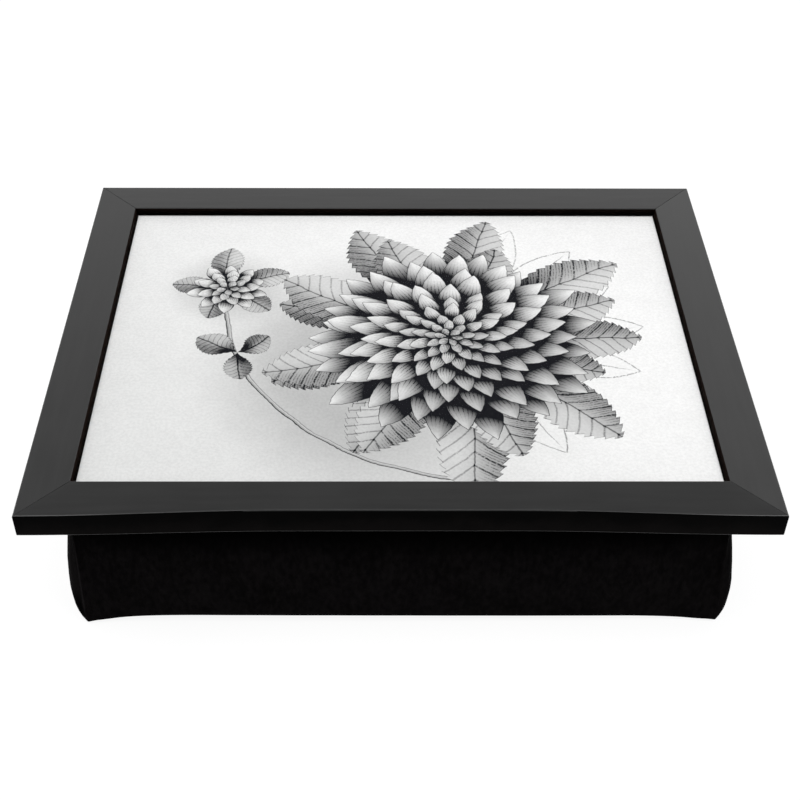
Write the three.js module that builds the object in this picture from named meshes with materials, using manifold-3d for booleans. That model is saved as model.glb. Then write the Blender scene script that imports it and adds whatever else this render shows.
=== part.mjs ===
// Bean-bag lap tray: a mitred black frame round a printed board, on a bead-filled fabric cushion.
// Millimetres, +Z up. The origin lies on the table under the middle of the cushion; -Y is the front.
import * as THREE from 'three';
import { mergeVertices } from 'three/addons/utils/BufferGeometryUtils.js';
import Module from 'manifold-3d';

const wasm = await Module();
wasm.setup();

// Frame rails: outer size of the frame, then the rail's section.
const TRAY_WIDTH = 440;
const TRAY_DEPTH = 340;
const RAIL_WIDTH = 28;
const RAIL_HEIGHT = 16;
const RECESS_DEPTH = 5;
const SIGHT_SLOPE = 2.2;
const REBATE_WIDTH = 8;
const TOP_EDGE_RADIUS = 1.2;
const BOTTOM_EDGE_CHAMFER = 0.8;
const MITRE_GAP = 0.3;

// Layers held in the rebate, top to bottom, the gap left between flat layers, and the bands the film is
// divided into each way: two under the rails' lip and the open one between them.
const FILM_THICKNESS = 0.5;
const PRINT_THICKNESS = 0.3;
const BOARD_THICKNESS = 3;
const LAYER_GAP = 0.1;
const BOARD_CLEARANCE = 0.5;
const FILM_BANDS = 3;

// V-nails under the mitres.
const V_NAILS_PER_CORNER = 2;
const V_NAIL_LEG = 5;
const V_NAIL_SHEET = 0.7;
const V_NAIL_HEIGHT = 10;
const NAIL_CLEARANCE = 0.2;

// Retaining points behind the board.
const POINTS_PER_LONG_RAIL = 3;
const POINTS_PER_SHORT_RAIL = 2;
const POINT_WIDTH = 6;
const POINT_BITE = 7;
const POINT_REACH = 8;
const POINT_SHEET = 0.5;

// Hook strips under the board and loop strips on the cushion.
const STRIP_WIDTH = 25;
const LONG_STRIP_LENGTH = 300;
const SHORT_STRIP_LENGTH = 160;
const STRIP_EDGE_INSET = 12;
const STRIP_CORNER_RADIUS = 3;
const HOOK_THICKNESS = 1.6;
const LOOP_THICKNESS = 1.6;

// Cushion: a box-sewn bag of six panels that sags over its lower edge.
const CUSHION_HEIGHT = 102.5;
const CUSHION_CLEARANCE = 3;
const CLOTH_THICKNESS = 1.2;
const SEAM_GAP = 0.4;
const FILLING_CLEARANCE = 0.3;
const CORNER_FLARE_X = 2.5;
const CORNER_FLARE_Y = 7;
const LONG_SIDE_BULGE = 4;
const SHORT_SIDE_BULGE = 12.5;
const LOWER_SEAM_DRAW_IN = 1.9;
const LOWER_SEAM_LIFT = 5;
const CORNER_EAR_LIFT = 1;
const FLAT_BASE_SHARE = 0.85;

// How the bag's curves run: a low sag power puts the belly low down, and a high corner power keeps the
// shape of the middle of a side until close to its corners.
const SAG_POWER = 0.43;
const SEAM_CORNER_POWER = 12;
const LONG_BELLY_CORNER_POWER = 4;
const SHORT_BELLY_CORNER_POWER = 16;
const TUCK_POWER = 2;
const EDGE_RISE_POWER = 2;

// Grid steps of the cloth panels, how far their lines crowd towards the seams, and steps of an arc.
const LONG_STEPS = 20;
const SHORT_STEPS = 16;
const HEIGHT_STEPS = 9;
const SEAM_CROWDING = 0.4;
const ARC_STEPS = 4;

// Points closer than this are one point, and a cut starts this far outside what it cuts.
const MERGE_DISTANCE = 0.001;
const CUT_OVERRUN = 0.2;

// Heights, stacked upwards from the cushion.
const loopBottom = CUSHION_HEIGHT + LAYER_GAP;
const hookBottom = loopBottom + LOOP_THICKNESS + LAYER_GAP;
const boardBottom = hookBottom + HOOK_THICKNESS + LAYER_GAP;
const printBottom = boardBottom + BOARD_THICKNESS + LAYER_GAP;
const filmBottom = printBottom + PRINT_THICKNESS + LAYER_GAP;
const filmTop = filmBottom + FILM_THICKNESS;
const frameTop = filmTop + RECESS_DEPTH;
const railBottom = frameTop - RAIL_HEIGHT;
const lipBottom = filmTop + LAYER_GAP;
const pointBottom = boardBottom - NAIL_CLEARANCE - POINT_SHEET;

// Distances from the frame's outer face to the lip's toe and to the rebate's wall.
const lipToe = RAIL_WIDTH + SIGHT_SLOPE;
const rebateWall = lipToe - REBATE_WIDTH;

// Half sizes of the rebate opening and of the cushion's top seam, which sits up inside it.
const rebateHalf = new THREE.Vector2(TRAY_WIDTH / 2 - rebateWall, TRAY_DEPTH / 2 - rebateWall);
const bagTopHalf = rebateHalf.clone().subScalar(CUSHION_CLEARANCE);

// Materials
const blackPaint = new THREE.MeshStandardMaterial({ color: 0x141414, roughness: 0.4 });
const steel = new THREE.MeshStandardMaterial({ color: 0xb8b8b8, roughness: 0.35, metalness: 1 });
const clearFilm = new THREE.MeshStandardMaterial({ color: 0xf4f6f6, roughness: 0.25 });
const printedPaper = new THREE.MeshStandardMaterial({ color: 0xe9eaea, roughness: 0.8 });
const hardboard = new THREE.MeshStandardMaterial({ color: 0x6b4a2f, roughness: 0.8 });
const hookTape = new THREE.MeshStandardMaterial({ color: 0x1a1a1a, roughness: 0.7 });
const loopTape = new THREE.MeshStandardMaterial({ color: 0x161616, roughness: 0.95 });
const blackCloth = new THREE.MeshStandardMaterial({ color: 0x111112, roughness: 0.95 });
const whiteBeads = new THREE.MeshStandardMaterial({ color: 0xf2f2ee, roughness: 0.7 });

// Solids, for joins and cuts.
function toSolid(geometry) {
  const bare = new THREE.BufferGeometry();
  bare.setAttribute('position', geometry.attributes.position);
  bare.setIndex(geometry.index);
  const merged = mergeVertices(bare, MERGE_DISTANCE);
  return new wasm.Manifold(new wasm.Mesh({
    numProp: 3,
    vertProperties: new Float32Array(merged.attributes.position.array),
    triVerts: new Uint32Array(merged.index.array),
  }));
}

function toGeometry(solid) {
  const mesh = solid.getMesh();
  const geometry = new THREE.BufferGeometry();
  geometry.setAttribute('position', new THREE.BufferAttribute(new Float32Array(mesh.vertProperties), 3));
  geometry.setIndex(new THREE.BufferAttribute(new Uint32Array(mesh.triVerts), 1));
  return geometry;
}

function piece(name, geometry, material, parent) {
  const mesh = new THREE.Mesh(geometry, material);
  mesh.name = name;
  parent.add(mesh);
  return mesh;
}

function slab(shape, thickness) {
  const options = { depth: thickness, bevelEnabled: false, curveSegments: ARC_STEPS };
  return new THREE.ExtrudeGeometry(shape, options);
}

function roundedRectangle(width, depth, radius) {
  const x = width / 2;
  const y = depth / 2;
  const shape = new THREE.Shape();
  shape.absarc(x - radius, y - radius, radius, 0, Math.PI / 2);
  shape.absarc(radius - x, y - radius, radius, Math.PI / 2, Math.PI);
  shape.absarc(radius - x, radius - y, radius, Math.PI, 1.5 * Math.PI);
  shape.absarc(x - radius, radius - y, radius, 1.5 * Math.PI, 2 * Math.PI);
  return shape;
}

// Rails. Each is drawn along X with its outer face at Y = 0 and its rebate facing +Y.
function railSection() {
  const lipStart = lipBottom - railBottom;
  const shape = new THREE.Shape();
  shape.moveTo(BOTTOM_EDGE_CHAMFER, 0);
  shape.lineTo(rebateWall, 0);
  shape.lineTo(rebateWall, lipStart);
  shape.lineTo(lipToe, lipStart);
  shape.lineTo(RAIL_WIDTH, RAIL_HEIGHT);
  shape.lineTo(TOP_EDGE_RADIUS, RAIL_HEIGHT);
  const centre = RAIL_HEIGHT - TOP_EDGE_RADIUS;
  shape.absarc(TOP_EDGE_RADIUS, centre, TOP_EDGE_RADIUS, Math.PI / 2, Math.PI);
  shape.lineTo(0, BOTTOM_EDGE_CHAMFER);
  return shape;
}

function mitredBar(length) {
  const bar = slab(railSection(), length);
  const along = new THREE.Vector3(1, 0, 0);
  const inward = new THREE.Vector3(0, 1, 0);
  const up = new THREE.Vector3(0, 0, 1);
  bar.applyMatrix4(new THREE.Matrix4().makeBasis(inward, up, along));
  bar.translate(-length / 2, 0, 0);
  const position = bar.attributes.position;
  for (let i = 0; i < position.count; i += 1) {
    const setBack = position.getY(i) + MITRE_GAP / Math.SQRT2;
    position.setX(i, position.getX(i) - Math.sign(position.getX(i)) * setBack);
  }
  return bar;
}

// A V-nail's two legs run along the two rails from a point on the mitre line.
function vNailShape(clearance) {
  const back = -V_NAIL_SHEET / 2 - clearance;
  const front = V_NAIL_SHEET / 2 + clearance;
  const tip = V_NAIL_LEG + clearance;
  const shape = new THREE.Shape();
  shape.moveTo(back, back);
  shape.lineTo(tip, back);
  shape.lineTo(tip, front);
  shape.lineTo(front, front);
  shape.lineTo(front, tip);
  shape.lineTo(back, tip);
  return shape;
}

function vNailPlaces() {
  const places = [];
  for (let k = 1; k <= V_NAILS_PER_CORNER; k += 1) {
    places.push((rebateWall * k) / (V_NAILS_PER_CORNER + 1));
  }
  return places;
}

// A retaining point: a pointed tab, its tip in the rail and its round end behind the board.
function pointShape() {
  const half = POINT_WIDTH / 2;
  const shape = new THREE.Shape();
  shape.moveTo(0, -POINT_BITE);
  shape.lineTo(half, half - POINT_BITE);
  shape.lineTo(half, POINT_REACH - half);
  shape.absarc(0, POINT_REACH - half, half, 0, Math.PI);
  shape.lineTo(-half, half - POINT_BITE);
  return shape;
}

function pointPlaces(count, length) {
  const places = [];
  for (let k = 0; k < count; k += 1) {
    places.push(((k + 0.5) / count - 0.5) * length);
  }
  return places;
}

function buildRail(side, length, pointCount, parent) {
  let solid = toSolid(mitredBar(length));

  const nailSlotDepth = NAIL_CLEARANCE + V_NAIL_HEIGHT + NAIL_CLEARANCE;
  for (const place of vNailPlaces()) {
    for (const end of [-1, 1]) {
      const slot = slab(vNailShape(NAIL_CLEARANCE), nailSlotDepth + CUT_OVERRUN);
      slot.rotateZ(end > 0 ? Math.PI / 2 : 0);
      slot.translate(end * (length / 2 - place), place, -CUT_OVERRUN);
      solid = solid.subtract(toSolid(slot));
    }
  }

  const slotWidth = POINT_WIDTH + 2 * NAIL_CLEARANCE;
  const slotHeight = POINT_SHEET + 2 * NAIL_CLEARANCE;
  const slotDepth = POINT_BITE + NAIL_CLEARANCE;
  const pointHeight = pointBottom - railBottom;
  pointPlaces(pointCount, length - 2 * rebateWall).forEach((place, k) => {
    const slot = new THREE.BoxGeometry(slotWidth, 2 * slotDepth, slotHeight);
    slot.translate(place, rebateWall, pointHeight + POINT_SHEET / 2);
    solid = solid.subtract(toSolid(slot));

    const tab = slab(pointShape(), POINT_SHEET);
    const point = piece(`retaining_point_${side}_${k + 1}`, tab, steel, parent);
    point.position.set(place, rebateWall, pointHeight);
  });
  piece(`rail_${side}`, toGeometry(solid), blackPaint, parent);
}

// The board, print and film share one outline. The film's top is divided along the sight edge, so
// that the part of it left open inside the frame is a face of its own.
function layerSize() {
  return rebateHalf.clone().subScalar(BOARD_CLEARANCE).multiplyScalar(2);
}

function filmGeometry() {
  const size = layerSize();
  const film = new THREE.BoxGeometry(size.x, size.y, FILM_THICKNESS, FILM_BANDS, FILM_BANDS);
  const sightX = TRAY_WIDTH / 2 - lipToe;
  const sightY = TRAY_DEPTH / 2 - lipToe;
  const position = film.attributes.position;
  for (let i = 0; i < position.count; i += 1) {
    if (Math.abs(position.getX(i)) < size.x / FILM_BANDS) {
      position.setX(i, Math.sign(position.getX(i)) * sightX);
    }
    if (Math.abs(position.getY(i)) < size.y / FILM_BANDS) {
      position.setY(i, Math.sign(position.getY(i)) * sightY);
    }
  }
  film.translate(0, 0, FILM_THICKNESS / 2);
  return film;
}

// The bag's surface, at a depth below the cloth's outside. On each face s and t run from -1 to 1; on
// the four sides t climbs from the lower seam to the upper one, and v is the same climb from 0 to 1.
function sag(v) {
  return Math.sin(Math.PI * v ** SAG_POWER);
}

function seamHalf(v) {
  const flare = new THREE.Vector2(CORNER_FLARE_X, CORNER_FLARE_Y).multiplyScalar(1 - v);
  return bagTopHalf.clone().add(flare);
}

function lowerSeamHeight(s) {
  return CORNER_EAR_LIFT + (LOWER_SEAM_LIFT - CORNER_EAR_LIFT) * (1 - s ** SEAM_CORNER_POWER);
}

function drawIn(s) {
  return LOWER_SEAM_DRAW_IN * (1 - s ** SEAM_CORNER_POWER);
}

function sideOffset(s, v, bulge, cornerPower) {
  const belly = bulge * (1 - s ** cornerPower) * sag(v);
  return belly - drawIn(s) * (1 - v) ** TUCK_POWER;
}

function sideHeight(s, v, depth) {
  const low = lowerSeamHeight(s) + depth;
  return low + (CUSHION_HEIGHT - depth - low) * v;
}

function longSide(sign) {
  return (s, t, depth) => {
    const v = (t + 1) / 2;
    const half = seamHalf(v).subScalar(depth);
    const y = half.y + sideOffset(s, v, LONG_SIDE_BULGE, LONG_BELLY_CORNER_POWER);
    return [-sign * s * half.x, sign * y, sideHeight(s, v, depth)];
  };
}

function shortSide(sign) {
  return (s, t, depth) => {
    const v = (t + 1) / 2;
    const half = seamHalf(v).subScalar(depth);
    const x = half.x + sideOffset(s, v, SHORT_SIDE_BULGE, SHORT_BELLY_CORNER_POWER);
    return [sign * x, sign * s * half.y, sideHeight(s, v, depth)];
  };
}

function upperFace(s, t, depth) {
  const half = seamHalf(1).subScalar(depth);
  return [s * half.x, t * half.y, CUSHION_HEIGHT - depth];
}

function edgeRise(s) {
  const pastFlat = Math.max(0, Math.abs(s) - FLAT_BASE_SHARE);
  return (pastFlat / (1 - FLAT_BASE_SHARE)) ** EDGE_RISE_POWER;
}

function lowerFace(s, t, depth) {
  const half = seamHalf(0).subScalar(depth);
  const rise = lowerSeamHeight(t) * edgeRise(s) + lowerSeamHeight(s) * edgeRise(t);
  const shared = CORNER_EAR_LIFT * edgeRise(s) * edgeRise(t);
  return [s * (half.x - drawIn(t)), -t * (half.y - drawIn(s)), depth + rise - shared];
}

// The six faces of the bag, each with its grid steps and its size from seam to seam.
const bagSize = bagTopHalf.clone().multiplyScalar(2);
const longGrid = { steps: [LONG_STEPS, HEIGHT_STEPS], size: [bagSize.x, CUSHION_HEIGHT] };
const shortGrid = { steps: [SHORT_STEPS, HEIGHT_STEPS], size: [bagSize.y, CUSHION_HEIGHT] };
const flatGrid = { steps: [LONG_STEPS, SHORT_STEPS], size: [bagSize.x, bagSize.y] };
const bagFaces = [
  { name: 'bottom', surface: lowerFace, ...flatGrid },
  { name: 'front', surface: longSide(-1), ...longGrid },
  { name: 'back', surface: longSide(1), ...longGrid },
  { name: 'left', surface: shortSide(-1), ...shortGrid },
  { name: 'right', surface: shortSide(1), ...shortGrid },
  { name: 'top', surface: upperFace, ...flatGrid },
];

// Grid lines crowd towards the seams, where the cloth turns.
function gridLine(step, steps) {
  const even = (2 * step) / steps - 1;
  return even * (1 + SEAM_CROWDING * (1 - even * even));
}

function facePoints(face, depth, gap) {
  const [columns, rows] = face.steps;
  const points = [];
  for (let j = 0; j <= rows; j += 1) {
    for (let i = 0; i <= columns; i += 1) {
      const s = gridLine(i, columns) * (1 - gap / face.size[0]);
      const t = gridLine(j, rows) * (1 - gap / face.size[1]);
      points.push(...face.surface(s, t, depth));
    }
  }
  return points;
}

function faceTriangles(face) {
  const [columns, rows] = face.steps;
  const triangles = [];
  for (let j = 0; j < rows; j += 1) {
    for (let i = 0; i < columns; i += 1) {
      const a = j * (columns + 1) + i;
      const d = a + columns + 1;
      triangles.push(a, a + 1, d + 1, a, d + 1, d);
    }
  }
  return triangles;
}

function rimLoop(face) {
  const [columns, rows] = face.steps;
  const row = columns + 1;
  const loop = [];
  for (let i = 0; i < columns; i += 1) {
    loop.push(i);
  }
  for (let j = 0; j < rows; j += 1) {
    loop.push(j * row + columns);
  }
  for (let i = columns; i > 0; i -= 1) {
    loop.push(rows * row + i);
  }
  for (let j = rows; j > 0; j -= 1) {
    loop.push(j * row);
  }
  return loop;
}

function indexedGeometry(points, triangles) {
  const geometry = new THREE.BufferGeometry();
  geometry.setAttribute('position', new THREE.Float32BufferAttribute(points, 3));
  geometry.setIndex(triangles);
  return geometry;
}

// A cloth panel: the outside and inside of the cloth, joined round the rim. Its edges stop short of
// the seams, and lean at the bag's corners so that neighbours meet like a mitre.
function clothPanel(face) {
  const outside = facePoints(face, 0, SEAM_GAP);
  const inside = facePoints(face, CLOTH_THICKNESS, SEAM_GAP);
  const count = outside.length / 3;
  const triangles = faceTriangles(face);
  const inner = faceTriangles(face).reverse().map((corner) => corner + count);
  const loop = rimLoop(face);
  const rim = loop.flatMap((corner, k) => {
    const next = loop[(k + 1) % loop.length];
    return [next, corner, corner + count, next, corner + count, next + count];
  });
  return indexedGeometry([...outside, ...inside], [...triangles, ...inner, ...rim]);
}

function fillingGeometry() {
  const points = [];
  const triangles = [];
  for (const face of bagFaces) {
    const first = points.length / 3;
    points.push(...facePoints(face, CLOTH_THICKNESS + FILLING_CLEARANCE, 0));
    triangles.push(...faceTriangles(face).map((corner) => corner + first));
  }
  return mergeVertices(indexedGeometry(points, triangles), MERGE_DISTANCE);
}

// Put together.
const lapTray = new THREE.Group();
lapTray.name = 'lap_tray';

// Frame: four rails round the board, each in a group that turns it to its side.
const rails = [
  { side: 'front', turn: 0, x: 0, y: -1, length: TRAY_WIDTH, points: POINTS_PER_LONG_RAIL },
  { side: 'right', turn: 1, x: 1, y: 0, length: TRAY_DEPTH, points: POINTS_PER_SHORT_RAIL },
  { side: 'back', turn: 2, x: 0, y: 1, length: TRAY_WIDTH, points: POINTS_PER_LONG_RAIL },
  { side: 'left', turn: 3, x: -1, y: 0, length: TRAY_DEPTH, points: POINTS_PER_SHORT_RAIL },
];
for (const rail of rails) {
  const group = new THREE.Group();
  group.position.set((rail.x * TRAY_WIDTH) / 2, (rail.y * TRAY_DEPTH) / 2, railBottom);
  group.rotation.z = (rail.turn * Math.PI) / 2;
  lapTray.add(group);
  buildRail(rail.side, rail.length, rail.points, group);
}

// V-nails: two under each mitre, driven just below the rails' underside.
const corners = [
  { name: 'front_left', x: -1, y: -1 },
  { name: 'front_right', x: 1, y: -1 },
  { name: 'back_right', x: 1, y: 1 },
  { name: 'back_left', x: -1, y: 1 },
];
corners.forEach((corner, turn) => {
  vNailPlaces().forEach((place, k) => {
    const nail = piece(`v_nail_${corner.name}_${k + 1}`, slab(vNailShape(0), V_NAIL_HEIGHT), steel, lapTray);
    const x = corner.x * (TRAY_WIDTH / 2 - place);
    const y = corner.y * (TRAY_DEPTH / 2 - place);
    nail.position.set(x, y, railBottom + NAIL_CLEARANCE);
    nail.rotation.z = (turn * Math.PI) / 2;
  });
});

// Film, print and board, laid up from the lip downwards.
const layers = layerSize();
const film = piece('clear_film', filmGeometry(), clearFilm, lapTray);
film.position.z = filmBottom;
const print = piece('print_sheet', new THREE.BoxGeometry(layers.x, layers.y, PRINT_THICKNESS),
  printedPaper, lapTray);
print.position.z = printBottom + PRINT_THICKNESS / 2;
const board = piece('tray_board', new THREE.BoxGeometry(layers.x, layers.y, BOARD_THICKNESS),
  hardboard, lapTray);
board.position.z = boardBottom + BOARD_THICKNESS / 2;

// Hook strips under the board face loop strips on the cushion.
const stripX = bagTopHalf.x - STRIP_EDGE_INSET - STRIP_WIDTH / 2;
const stripY = bagTopHalf.y - STRIP_EDGE_INSET - STRIP_WIDTH / 2;
const strips = [
  { side: 'front', x: 0, y: -stripY, width: LONG_STRIP_LENGTH, depth: STRIP_WIDTH },
  { side: 'back', x: 0, y: stripY, width: LONG_STRIP_LENGTH, depth: STRIP_WIDTH },
  { side: 'left', x: -stripX, y: 0, width: STRIP_WIDTH, depth: SHORT_STRIP_LENGTH },
  { side: 'right', x: stripX, y: 0, width: STRIP_WIDTH, depth: SHORT_STRIP_LENGTH },
];
for (const strip of strips) {
  const outline = roundedRectangle(strip.width, strip.depth, STRIP_CORNER_RADIUS);
  const hooks = piece(`hook_strip_${strip.side}`, slab(outline, HOOK_THICKNESS), hookTape, lapTray);
  hooks.position.set(strip.x, strip.y, hookBottom);
  const loops = piece(`loop_strip_${strip.side}`, slab(outline, LOOP_THICKNESS), loopTape, lapTray);
  loops.position.set(strip.x, strip.y, loopBottom);
}

// Cushion: six cloth panels round the beads.
for (const face of bagFaces) {
  const steps = face.surface === upperFace ? [1, 1] : face.steps;
  piece(`cushion_${face.name}`, clothPanel({ ...face, steps }), blackCloth, lapTray);
}
piece('bead_filling', fillingGeometry(), whiteBeads, lapTray);

export default lapTray;
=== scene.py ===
import math
from collections import namedtuple

import bmesh
import bpy
import numpy as np
from mathutils import Matrix, Vector


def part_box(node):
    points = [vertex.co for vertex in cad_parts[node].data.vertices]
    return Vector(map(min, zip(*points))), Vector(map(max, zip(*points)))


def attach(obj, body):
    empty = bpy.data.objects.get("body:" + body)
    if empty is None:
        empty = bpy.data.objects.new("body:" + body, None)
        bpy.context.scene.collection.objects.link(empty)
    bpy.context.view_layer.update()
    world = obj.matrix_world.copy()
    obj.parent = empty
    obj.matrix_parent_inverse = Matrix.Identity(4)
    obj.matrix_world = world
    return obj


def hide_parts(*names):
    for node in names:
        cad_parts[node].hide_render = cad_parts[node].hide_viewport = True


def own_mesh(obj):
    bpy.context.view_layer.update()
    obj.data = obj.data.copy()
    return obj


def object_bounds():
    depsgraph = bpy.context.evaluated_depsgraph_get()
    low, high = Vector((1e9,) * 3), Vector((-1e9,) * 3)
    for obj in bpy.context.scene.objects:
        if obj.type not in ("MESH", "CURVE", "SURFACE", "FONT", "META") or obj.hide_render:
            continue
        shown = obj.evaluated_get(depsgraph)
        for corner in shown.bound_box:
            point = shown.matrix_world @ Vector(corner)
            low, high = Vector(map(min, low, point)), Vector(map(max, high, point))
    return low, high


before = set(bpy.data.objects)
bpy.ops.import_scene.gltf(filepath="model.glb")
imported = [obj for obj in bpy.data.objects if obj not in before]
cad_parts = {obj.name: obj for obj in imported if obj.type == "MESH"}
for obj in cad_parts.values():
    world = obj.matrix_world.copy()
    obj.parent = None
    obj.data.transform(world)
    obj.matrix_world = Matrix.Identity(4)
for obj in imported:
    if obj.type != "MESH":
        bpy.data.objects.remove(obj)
cad_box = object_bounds()
scene = bpy.context.scene
scene.view_settings.view_transform = "Standard"
MM = 0.001

# Camera: a short telephoto, standing just left of the tray's middle and looking down on it. Its place,
# angles and small sideways framing are solved from the edges of the tray's frame in the photograph.
image_side_px = 800
focal_length_px = 1351.5
framed_right_px = 12
camera_place_mm = (-13.7, -697.6, 671.3)
camera_looks_down = math.radians(41.6)
camera_turns_right = math.radians(0.61)
camera_rolls_left = math.radians(0.42)
camera_data = bpy.data.cameras.new("camera")
camera_data.lens = camera_data.sensor_width * focal_length_px / image_side_px
camera_data.shift_x = framed_right_px / image_side_px
camera = bpy.data.objects.new("camera", camera_data)
camera.matrix_world = (
    Matrix.Translation(Vector(camera_place_mm) * MM)
    @ Matrix.Rotation(-camera_turns_right, 4, "Z")
    @ Matrix.Rotation(math.pi / 2 - camera_looks_down, 4, "X")
    @ Matrix.Rotation(camera_rolls_left, 4, "Z")
)
scene.collection.objects.link(camera)
scene.camera = camera


# Studio: a white room, brighter low down behind the tray, with one wide soft lamp overhead. The floor is
# a white sheet that shows near white to the eye and in gloss, and still takes the tray's shadow.
class Shade:
    """A socket of a shader tree. Arithmetic on it adds Math nodes, and node() adds any other node."""

    def __init__(self, tree, socket=None):
        self.tree = tree
        self.socket = socket

    def node(self, kind, settings=None, sockets=None, output=0):
        made = self.tree.nodes.new(kind)
        for name, value in (settings or {}).items():
            setattr(made, name, value)
        for name, value in (sockets or {}).items():
            if isinstance(value, Shade):
                self.tree.links.new(value.socket, made.inputs[name])
            else:
                made.inputs[name].default_value = value
        return Shade(self.tree, made.outputs[output] if made.outputs else None)

    def __getitem__(self, output):
        return Shade(self.tree, self.socket.node.outputs[output])

    def math(self, operation, *others):
        return self.node("ShaderNodeMath", {"operation": operation}, dict(enumerate((self, *others))))

    def __add__(self, other):
        return self.math("ADD", other)

    def __sub__(self, other):
        return self.math("SUBTRACT", other)

    def __rsub__(self, other):
        return self.math("MULTIPLY_ADD", -1, other)

    def __mul__(self, other):
        return self.math("MULTIPLY", other)

    def __truediv__(self, other):
        return self.math("DIVIDE", other)

    def __pow__(self, other):
        return self.math("POWER", other)

    def __mod__(self, other):
        return self.math("FLOORED_MODULO", other)

    def __abs__(self):
        return self.math("ABSOLUTE")

    __radd__ = __add__
    __rmul__ = __mul__

    def at_least(self, other):
        return self.math("MAXIMUM", other)

    def at_most(self, other):
        return self.math("MINIMUM", other)

    def rise(self, low, high):
        span = {"Value": self, "From Min": low, "From Max": high}
        return self.node("ShaderNodeMapRange", {"interpolation_type": "SMOOTHSTEP"}, span)

    def mix(self, without, full):
        return self.node("ShaderNodeMix", {"data_type": "RGBA"}, {0: self, 6: without, 7: full}, output=2)

    def vector(self, operation, *others):
        return self.node("ShaderNodeVectorMath", {"operation": operation}, dict(enumerate((self, *others))))

    def stretched(self, x, y, z):
        return self.vector("MULTIPLY", (x, y, z))

    def axis(self, name):
        return self.node("ShaderNodeSeparateXYZ", None, {0: self}, output=name)

    def noise(self, scale, detail=2.0):
        return self.node("ShaderNodeTexNoise", None, {"Vector": self, "Scale": scale, "Detail": detail})

    def relief(self, strength, depth):
        return self.node("ShaderNodeBump", None, {"Height": self, "Strength": strength, "Distance": depth})


room_white = (1, 1, 1, 1)
room_level = 0.36
backdrop_level = 1.05
right_side_level = 0.1
behind_from = (0.2, 0.9)
overhead_from = (0.45, 0.75)
right_from = (-0.35, 0.35)
horizon_to = (0.04, 0.16)
world = bpy.data.worlds.new("studio")
scene.world = world
world.use_nodes = True
world.node_tree.nodes.clear()
room = Shade(world.node_tree)
toward = room.node("ShaderNodeTexCoord", output="Generated")
low_behind = toward.axis("Y").rise(*behind_from) * (1 - toward.axis("Z").rise(*overhead_from))
at_right = toward.axis("X").rise(*right_from)
brightness = room_level + low_behind * backdrop_level + at_right * right_side_level
horizon = 1 - toward.axis("Z").rise(*horizon_to)
lighting = {"Color": room_white, "Strength": brightness.at_least(horizon)}
room.node("ShaderNodeOutputWorld", None, {"Surface": room.node("ShaderNodeBackground", None, lighting)})

lamp_data = bpy.data.lights.new("overhead lamp", "AREA")
lamp_data.shape = "RECTANGLE"
lamp_data.size = 2.6
lamp_data.size_y = 0.7
lamp_data.energy = 18
lamp = bpy.data.objects.new("overhead lamp", lamp_data)
lamp.location = (-0.1, -0.3, 1.5)
lamp_aim = Vector((0, 0, 0.1))
lamp.rotation_euler = (lamp_aim - lamp.location).to_track_quat("-Z", "Y").to_euler()
lamp.visible_camera = False
scene.collection.objects.link(lamp)


def blank_material(name):
    material = bpy.data.materials.new(name)
    material.use_nodes = True
    material.node_tree.nodes.clear()
    return material, Shade(material.node_tree)


def finish_surface(shade, surface):
    shade.node("ShaderNodeOutputMaterial", None, {"Surface": surface})


def coat(shade, sockets):
    finish_surface(shade, shade.node("ShaderNodeBsdfPrincipled", None, sockets))


def grey(level):
    return (level, level, level, 1)


def new_piece(name, points, faces, materials):
    mesh = bpy.data.meshes.new(name)
    mesh.from_pydata([tuple(p) for p in points], [], [tuple(f) for f in faces])
    mesh.validate()
    for material in materials:
        mesh.materials.append(material)
    piece = bpy.data.objects.new(name, mesh)
    scene.collection.objects.link(piece)
    return piece


floor_half = 4
floor_reflects = 0.86
floor_glow = 1.12
floor_glow_share = 0.8
floor_sheet, shade = blank_material("white floor sheet")
path = shade.node("ShaderNodeLightPath")
seen = path["Is Camera Ray"].at_least(path["Is Glossy Ray"]).at_least(path["Is Transmission Ray"])
lit = shade.node("ShaderNodeBsdfDiffuse", None, {"Color": grey(floor_reflects)})
white = shade.node("ShaderNodeEmission", None, {"Color": room_white, "Strength": floor_glow})
floor_mix = {0: seen * floor_glow_share, 1: lit, 2: white}
finish_surface(shade, shade.node("ShaderNodeMixShader", None, floor_mix))
floor_corners = [(x * floor_half, y * floor_half, 0) for x, y in ((-1, -1), (1, -1), (1, 1), (-1, 1))]
floor = new_piece("floor", floor_corners, [(0, 1, 2, 3)], [floor_sheet])

# Frame rails: four lengths of wooden moulding, rebated underneath and mitred at the corners. Satin
# black paint lies smooth on top and on the rubbed foot edge; the sides are flat black. The front rail is
# planed hollow along the middle of its outer face, and near the corners its top edge has a painted
# highlight.
rail_width = 28 * MM
rebate_width = 8 * MM
lip_gap = 0.1 * MM
top_edge_radius = 1.0 * MM
sight_edge_radius = 0.5 * MM
foot_edge_radius = 0.5 * MM
mitre_gap = 0.08 * MM
mitre_ease = 0.12 * MM
hollow_at_top = 4.6 * MM
hollow_at_foot = 3.2 * MM
hollow_flat_half = 62 * MM
hollow_steps = 44
edge_highlight_depth = 0.2 * MM
edge_highlight_tone = 0.08
tray_half = Vector(((cad_box[1][0] - cad_box[0][0]) / 2, (cad_box[1][1] - cad_box[0][1]) / 2))
rail_foot, rail_top = (corner.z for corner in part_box("rail_front"))
lip_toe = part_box("rail_front")[1].y + tray_half.y
lip_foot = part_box("clear_film")[1].z + lip_gap
rebate_wall = lip_toe - rebate_width
edge_highlight_from = 0.66 * tray_half.x
edge_highlight_full = 0.92 * tray_half.x
satin_slot, flat_slot, stain_slot = range(3)
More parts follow.
